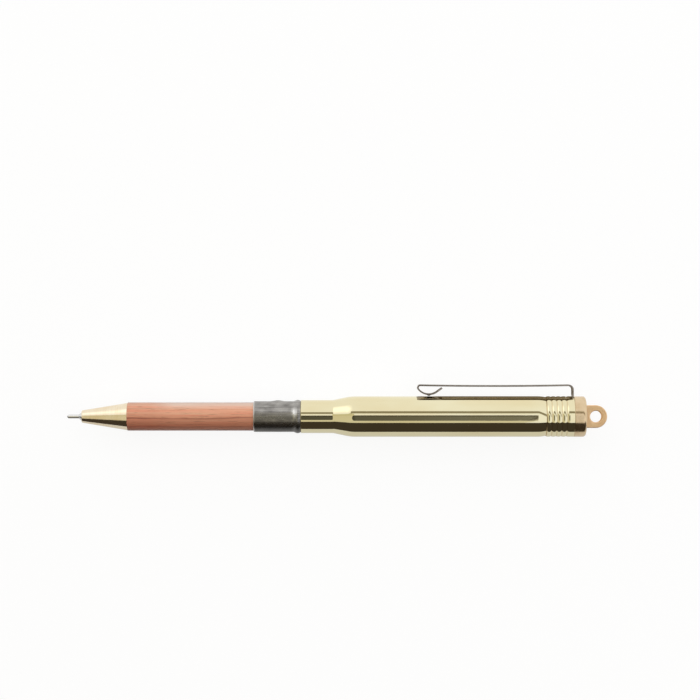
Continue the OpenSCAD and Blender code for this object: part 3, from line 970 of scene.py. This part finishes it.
# %% Shape of the threaded bush
BUSH_EASE = 0.05
bush_x = np.linspace(bush_low[0], bush_high[0], THREAD_POINTS)
bush_thread = threaded(BUSH_BORE_R, bush_x[0], bush_x[-1], 1)
bush_corners = np.vstack([
    curve(bush_x, BUSH_BORE_R),
    [bush_high[0], BUSH_R, 0],
    [bush_low[0], BUSH_R, BUSH_EASE],
])
bush = turned("threaded_bush", bush_corners, hollow=True, shape=bush_thread)
dress(bush, cone_brass, "cone_brass", "insert", "threaded_insert")

# %% [markdown]
# ## The refill
# A short metal refill lies in the cone and the wood. Its tube is drawn brass, crimped twice onto the stem
# of the point. The point is nickel silver, turned down to a slim nozzle whose lip is rolled over a
# carbide ball. They are tiny, but the nozzle always shows, and the tube shows when the cone is off.

# %% Finishes of the refill
REFILL_BRASS = paint(206, 178, 118)
REFILL_SHADE = paint(176, 142, 84)
NICKEL = paint(230, 229, 227)
NICKEL_SHADE = paint(212, 211, 209)
CARBIDE = paint(206, 206, 204)
CARBIDE_SHADE = paint(180, 180, 180)
INK = paint(24, 26, 38)
INK_SHADE = paint(14, 15, 24)


def plain_metal(name, light, shade, per_mm, low, high, depth_mm):
    """A bare metal with one pattern in its colour, roughness and height."""
    material, tree, shader = finish(name, METAL)
    pattern = grain(tree, per_mm, 4)
    tone = mixed(spread(pattern, 0, 1), light, shade)
    coated(shader, tone, spread(pattern, low, high), pattern, depth_mm)
    return material


def ink():
    """Thick dark ink with slow swirls, as it looks in its tube."""
    material, tree, shader = finish("ink", {"Specular IOR Level": 0.6})
    swirls = grain(tree, (0.3, 1.5, 1.5), 3)
    coated(shader, mixed(swirls, INK, INK_SHADE), spread(swirls, 0.1, 0.2))
    return material


tube_brass = plain_metal("drawn_refill_brass", REFILL_BRASS, REFILL_SHADE, (0.1, 6, 6), 0.16, 0.3, 0.002)
nickel = plain_metal("nickel_silver", NICKEL, NICKEL_SHADE, (16, 1, 1), 0.05, 0.12, 0.0005)
carbide = plain_metal("carbide", CARBIDE, CARBIDE_SHADE, (30, 30, 30), 0.12, 0.24, 0.001)
refinish("ink_column", ink())
print(tube_brass.name, nickel.name, "and", carbide.name, "are ready")

# %% Shape of the refill's tube
TUBE_R = 1.175
TUBE_WALL = 0.3
CRIMP_DEPTH = 0.07
CRIMP_W = 0.22
CRIMPS = (1.1, 2.2)
CRIMPED_FROM = 0.1
CRIMPED_TO = 4
CRIMP_POINTS = 80
REFILL_TURNS = 96


def crimped(x, r, turn):
    """Presses a ring into the tube at each crimp: a bell curve taken off the outer skin."""
    outer = r > TUBE_R - TUBE_WALL / 2
    for along in CRIMPS:
        r = r - np.where(outer, CRIMP_DEPTH * np.exp(-((x - tube_low[0] - along) / CRIMP_W) ** 2), 0)
    return x, r


crimp_x = tube_low[0] + np.linspace(CRIMPED_FROM, CRIMPED_TO, CRIMP_POINTS)
tube_corners = np.vstack([
    [tube_low[0], TUBE_R, FINE_EASE],
    curve(crimp_x, TUBE_R),
    [tube_high[0], TUBE_R, FINE_EASE],
    [tube_high[0], TUBE_R - TUBE_WALL, 0],
    [tube_low[0], TUBE_R - TUBE_WALL, 0],
])
tube = turned("refill_tube", tube_corners, hollow=True, shape=crimped, turns=REFILL_TURNS)
dress(tube, tube_brass, "refill_brass", "insert", "ink_tube")

# %% Shape of the point and its ball
LIP_WALL = 0.05
LIP_EASE = 0.02
LIP_SLOPE = 2
NOZZLE_R = 0.5
NOZZLE_LEN = 2.7
NOZZLE_EASE = 0.2
FLARE_LEN = 0.7
POINT_R = 1.075
POINT_EASE = 0.12
POINT_BACK_EASE = 0.03
STEM_R = 0.85
STEM_EASE = 0.05
DUCT_R = 0.2
BALL_GAP = 0.02
BALL_POINTS = 40
BALL_TURNS = 64
CUP_POINTS = 20
ball_low, ball_high = box_mm("writing_ball")
point_low, point_high = box_mm("writing_point")
ball_x = (ball_low[0] + ball_high[0]) / 2
ball_r = np.round((ball_high[0] - ball_low[0]) / 2, 3)
lip_x = point_low[0]
socket_r = ball_r + BALL_GAP
lip_r = socket_r + LIP_WALL
socket = np.linspace(np.arcsin(DUCT_R / socket_r), np.arccos((lip_x - ball_x) / socket_r), CUP_POINTS)
point_corners = np.vstack([
    curve(ball_x + socket_r * np.cos(socket), socket_r * np.sin(socket)),
    [lip_x, lip_r, LIP_EASE],
    [lip_x + LIP_SLOPE * (NOZZLE_R - lip_r), NOZZLE_R, FINE_EASE],
    [lip_x + NOZZLE_LEN, NOZZLE_R, NOZZLE_EASE],
    [lip_x + NOZZLE_LEN + FLARE_LEN, POINT_R, POINT_EASE],
    [tube_low[0], POINT_R, POINT_BACK_EASE],
    [tube_low[0], STEM_R, 0],
    [point_high[0], STEM_R, STEM_EASE],
    [point_high[0], DUCT_R, 0],
])
point = turned("refill_point", point_corners, hollow=True, turns=REFILL_TURNS)
dress(point, nickel, "point_metal", "insert", "writing_point")

half_turn = np.linspace(0, np.pi, BALL_POINTS)
ball_corners = curve(ball_x - ball_r * np.cos(half_turn), ball_r * np.sin(half_turn))
ball_corners[[0, -1], 1] = 0
ball = turned("rolling_ball", ball_corners, turns=BALL_TURNS)
dress(ball, carbide, "ball_metal", "ball", "writing_ball")

# %% [markdown]
# ## A white room with dark cards
# Polished brass shows the room more than itself, so the room is set up as a product studio does it: white
# all round, and cards where the metal should turn darker. Dark cards stand along the pen's lower side and
# off its point. A grey one hangs over it, with the camera's own dark shape in front, and beside that hang
# a bar and a pale card for the neck. They mirror as the stripes along the tube. Each card has the tone
# that mirrors should show, as a faint glow of its own, and the camera doesn't see it. A narrow one lies
# under the clip, where the case mirrors the clip's shade. A soft light stands at the upper left. The
# camera sees the room in the floor's own tone, so that the floor's far edge doesn't show.

# %% White room
FAR_TONE = 0.988
studio = bpy.context.scene
studio.view_settings.view_transform = "Standard"
room = bpy.data.worlds.new("white_room")
room.use_nodes = True
walls = room.node_tree.nodes["Background"]
walls.inputs["Color"].default_value = (1, 1, 1, 1)
looked_at = add(room.node_tree, "ShaderNodeLightPath").outputs["Is Camera Ray"]
room.node_tree.links.new(spread(looked_at, 1, FAR_TONE, 0, 1), walls.inputs["Strength"])
studio.world = room
print("the room is", room.name)

# %% Making cards
CARD_HEIGHT = 0.62
ROUND_POINTS = 25


def sheet_between(name, corner, along, across, rounded=0.0):
    """A flat sheet: corner + u along + v across, for u and v from 0 to 1, and the u of its points.

    Where it is rounded, its first end is half an ellipse that takes up that share of its length.
    """
    v = np.linspace(1, 0, ROUND_POINTS if rounded else 2)
    u = rounded * (1 - np.sqrt(1 - (2 * v - 1) ** 2))
    u, v = np.append([1, 1], u)[:, None], np.append([0, 1], v)[:, None]
    mesh = bpy.data.meshes.new(name)
    points = np.array(corner) + u * np.array(along) + v * np.array(across)
    mesh.from_pydata(points.tolist(), [], [range(len(points))])
    sheet = bpy.data.objects.new(name, mesh)
    studio.collection.objects.link(sheet)
    return sheet, u


def card(name, start, end, *edges, rounded=0.0):
    """A card that mirrors show and the camera doesn't. Its tone goes from start to end along it."""
    sheet, u = sheet_between(name, *edges, rounded=rounded)
    tones = (1 - u) * np.array(paint(*start)) + u * np.array(paint(*end))
    sheet.data.attributes.new("tone", "FLOAT_COLOR", "POINT").data.foreach_set("color", tones.ravel())
    material, tree, shader = finish(name, {"Base Color": (0, 0, 0, 1), "Specular IOR Level": 0.0,
                                           "Emission Strength": 1.0})
    tone = add(tree, "ShaderNodeAttribute", attribute_name="tone").outputs["Color"]
    tree.links.new(tone, shader.inputs["Emission Color"])
    sheet.data.materials.append(material)
    sheet.visible_camera = False
    print("card", name, "at", edges[0])
    return sheet


def lean(degrees):
    """Distance to the side at which the card height is seen at this angle off the vertical."""
    return CARD_HEIGHT * np.tan(np.radians(degrees))


def hung(name, start, end, left, long, low, high, above=0.0, slant=(0, 0), rounded=0.0):
    """A card hung flat over the pen, so far along X, and between two angles off the vertical across it.

    above lifts it over the card height, and a slant shifts its far end from one angle to another.
    """
    shift = lean(slant[1]) - lean(slant[0])
    card(name, start, end, (left, lean(low), CARD_HEIGHT + above), (long, shift, 0),
         (0, lean(high) - lean(low), 0), rounded=rounded)


print("cards hang", CARD_HEIGHT, "m up")

# %% Cards round the pen
DARK = (64, 57, 48)
BAR_TONE = (150, 143, 124)
NECK_TONE = (214, 208, 178)
CAMERA_TONE = (78, 77, 67)
LENS_TONE = (82, 81, 72)
LENS_GLINT = (128, 126, 116)
GREY_TONES = ((219, 212, 180), (221, 215, 194))
SIDE_CARD_Y = -0.8
SIDE_CARD_LEN = 3.2
SIDE_CARD_DROP = 0.3
SIDE_CARD_TOP = 34.5
END_CARD_X = -0.9
END_CARD_HEIGHT = 1

side_height = SIDE_CARD_DROP - SIDE_CARD_Y / np.tan(np.radians(SIDE_CARD_TOP))
card("side_card", DARK, DARK, (-SIDE_CARD_LEN / 2, SIDE_CARD_Y, -SIDE_CARD_DROP), (SIDE_CARD_LEN, 0, 0),
     (0, 0, side_height))
card("end_card", DARK, DARK, (END_CARD_X, SIDE_CARD_Y, -SIDE_CARD_DROP), (0, -SIDE_CARD_Y, 0),
     (0, 0, END_CARD_HEIGHT))
hung("camera_card", CAMERA_TONE, LENS_TONE, -0.085, 0.055, -21, 3, rounded=0.9)
hung("lens_card", LENS_TONE, LENS_GLINT, -0.03, 0.1315, -21, 3)
hung("camera_frame", DARK, DARK, -0.087, 0.1915, -22, 8, above=0.002, rounded=0.26)
hung("bar_card", BAR_TONE, BAR_TONE, -0.13, 0.26, 19, 31.5)
hung("bar_end_card", BAR_TONE, BAR_TONE, 0.13, 0.3, 19, 31.5, slant=(19, -6))
hung("grey_card", *GREY_TONES, -0.7, 0.807, -SIDE_CARD_TOP, 6, above=0.004)
hung("front_card", NECK_TONE, NECK_TONE, -0.7, 0.67, 6, 17, above=0.003)
hung("front_end_card", NECK_TONE, NECK_TONE, -0.2, 0.113, 6, 17, above=0.001, slant=(17, 25))

# %% Shade under the clip
SHADE_RISE = 0.05
SHADE_WIDE = 7
SHADE_FRONT = (97, 80, 53)
SHADE_BACK = (120, 107, 85)
shade_corner = np.array([clip_low[0], case_high[1], SHADE_RISE]) * MM
shade = card("clip_shade", SHADE_FRONT, SHADE_BACK, shade_corner,
             ((clip_high[0] - clip_low[0]) * MM, 0, 0), (0, SHADE_WIDE * MM, 0), rounded=0.05)
shade.visible_diffuse = False
shade.visible_shadow = False

# %% Soft light
LIGHT_TILT = np.radians(20)
LIGHT_LEAN = np.radians(48)
LIGHT_WIDE = 0.5
LIGHT_LONG = 1.0
LIGHT_LEVEL = 0.45
LIGHT_FADE = 0.14
lamp = bpy.data.lights.new("soft_light", "AREA")
lamp.shape = "RECTANGLE"
lamp.size, lamp.size_y = LIGHT_WIDE, LIGHT_LONG
lamp.energy = LIGHT_LEVEL * np.pi * LIGHT_WIDE * LIGHT_LONG
lamp.use_nodes = True
cloth = lamp.node_tree
place = add(cloth, "ShaderNodeNewGeometry").outputs["Parametric"]
edge = add(cloth, "ShaderNodeSeparateXYZ", {0: place}).outputs
from_sides = maths("PINGPONG", edge["X"], 0.5)
from_ends = maths("PINGPONG", edge["Y"], 0.5)
soft = spread(maths("MULTIPLY", from_sides, from_ends), 0, 1, 0, LIGHT_FADE)
cloth.links.new(soft, cloth.nodes["Emission"].inputs["Strength"])
soft_light = bpy.data.objects.new("soft_light", lamp)
soft_light.location = (-np.sin(LIGHT_TILT), np.cos(LIGHT_TILT) * np.sin(LIGHT_LEAN),
                       np.cos(LIGHT_TILT) * np.cos(LIGHT_LEAN))
soft_light.rotation_mode = "YXZ"
soft_light.rotation_euler = (-LIGHT_LEAN, -LIGHT_TILT, 0)
studio.collection.objects.link(soft_light)
print("soft light of", round(lamp.energy, 2), "W")

# %% [markdown]
# ## Floor and camera
# The floor is white paper, lit so brightly that only a faint shadow is left on it. Part of its white is
# its own glow, which the camera and mirrors see, and part is plain paper, which takes the shadow. In
# mirrors the paper is duller on the side of the dark card.
# The camera looks straight down, from far enough away that the pen keeps its shape.

# %% Floor
FLOOR_LOW = (-0.4, -0.08, 0)
FLOOR_SIZE = (0.8, 0.5)
PAPER = 0.14
GLOW = 0.893
MIRROR_GLOW = 0.9
SHADED_GLOW = 0.62
SHADED_TO = -5
BRIGHT_FROM = 3


def white_paper():
    """Paper that takes a shadow, with a glow that only the camera, mirrors and glass see."""
    material = bpy.data.materials.new("white_paper")
    material.use_nodes = True
    tree = material.node_tree
    tree.nodes.clear()
    ray = add(tree, "ShaderNodeLightPath").outputs
    glow_there = over_mm(where(tree)["Y"], SHADED_GLOW, MIRROR_GLOW, SHADED_TO, BRIGHT_FROM)
    mirrored = maths("MAXIMUM", ray["Is Glossy Ray"], ray["Is Transmission Ray"])
    seen = maths("MAXIMUM", maths("MULTIPLY", ray["Is Camera Ray"], GLOW),
                 maths("MULTIPLY", mirrored, glow_there))
    glow = add(tree, "ShaderNodeEmission", {"Strength": seen})
    paper = add(tree, "ShaderNodeBsdfDiffuse", {"Color": (PAPER, PAPER, PAPER, 1)})
    both = add(tree, "ShaderNodeAddShader", {0: glow.outputs[0], 1: paper.outputs[0]})
    add(tree, "ShaderNodeOutputMaterial", {"Surface": both.outputs[0]})
    return material


floor, _ = sheet_between("floor", FLOOR_LOW, (FLOOR_SIZE[0], 0, 0), (0, FLOOR_SIZE[1], 0))
floor.data.materials.append(white_paper())
print("floor of", FLOOR_SIZE, "m")

# %% Camera
VIEW_CENTRE = (12.304, 16.74)
VIEW_WIDTH = 176.17
CAMERA_RISE = 550
camera = bpy.data.objects.new("camera", bpy.data.cameras.new("camera"))
camera.data.sensor_width = 36
camera.data.lens = camera.data.sensor_width * CAMERA_RISE / VIEW_WIDTH
camera.location = np.array([mouth_x + VIEW_CENTRE[0], axis_y + VIEW_CENTRE[1], axis_z + CAMERA_RISE]) * MM
studio.collection.objects.link(camera)
studio.camera = camera
print("camera lens", round(camera.data.lens, 1), "mm")
